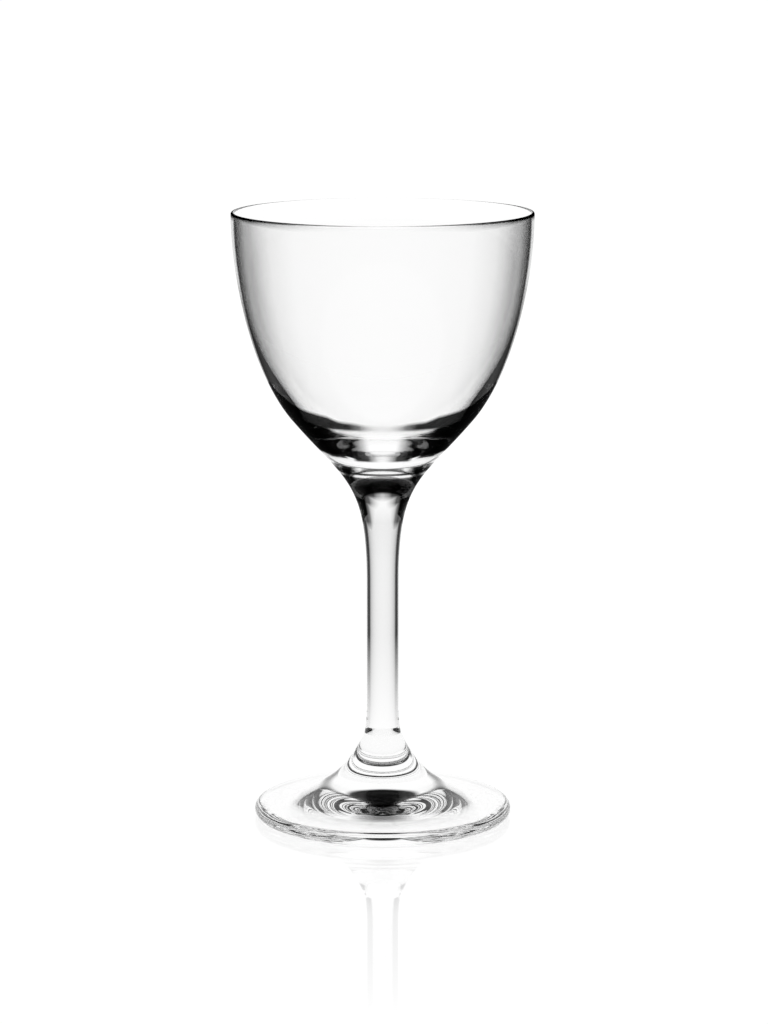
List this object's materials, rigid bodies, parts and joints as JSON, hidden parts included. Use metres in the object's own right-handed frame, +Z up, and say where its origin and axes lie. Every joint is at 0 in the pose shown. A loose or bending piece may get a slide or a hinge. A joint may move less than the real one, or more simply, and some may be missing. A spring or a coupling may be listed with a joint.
{
  "type": "nick and nora glass",
  "caption": "Clear stemmed drinking glass: a small deep bowl, near upright at the rim and round at the heel, flares into a slim stem on a flat round foot.",
  "frame": {"origin": "middle of the plane that the foot rests on", "axes": "+Z runs up the axis of the stem to the rim; +X and +Y are any two level directions, because the glass is turned about +Z"},
  "size_m": [0.0734, 0.0734, 0.15],
  "materials": {
    "clear_glass": "clear, fire-polished"
  },
  "bodies": {
    "root": {"bowl": "clear_glass", "stem": "clear_glass", "foot": "clear_glass"}
  },
  "joints": []
}
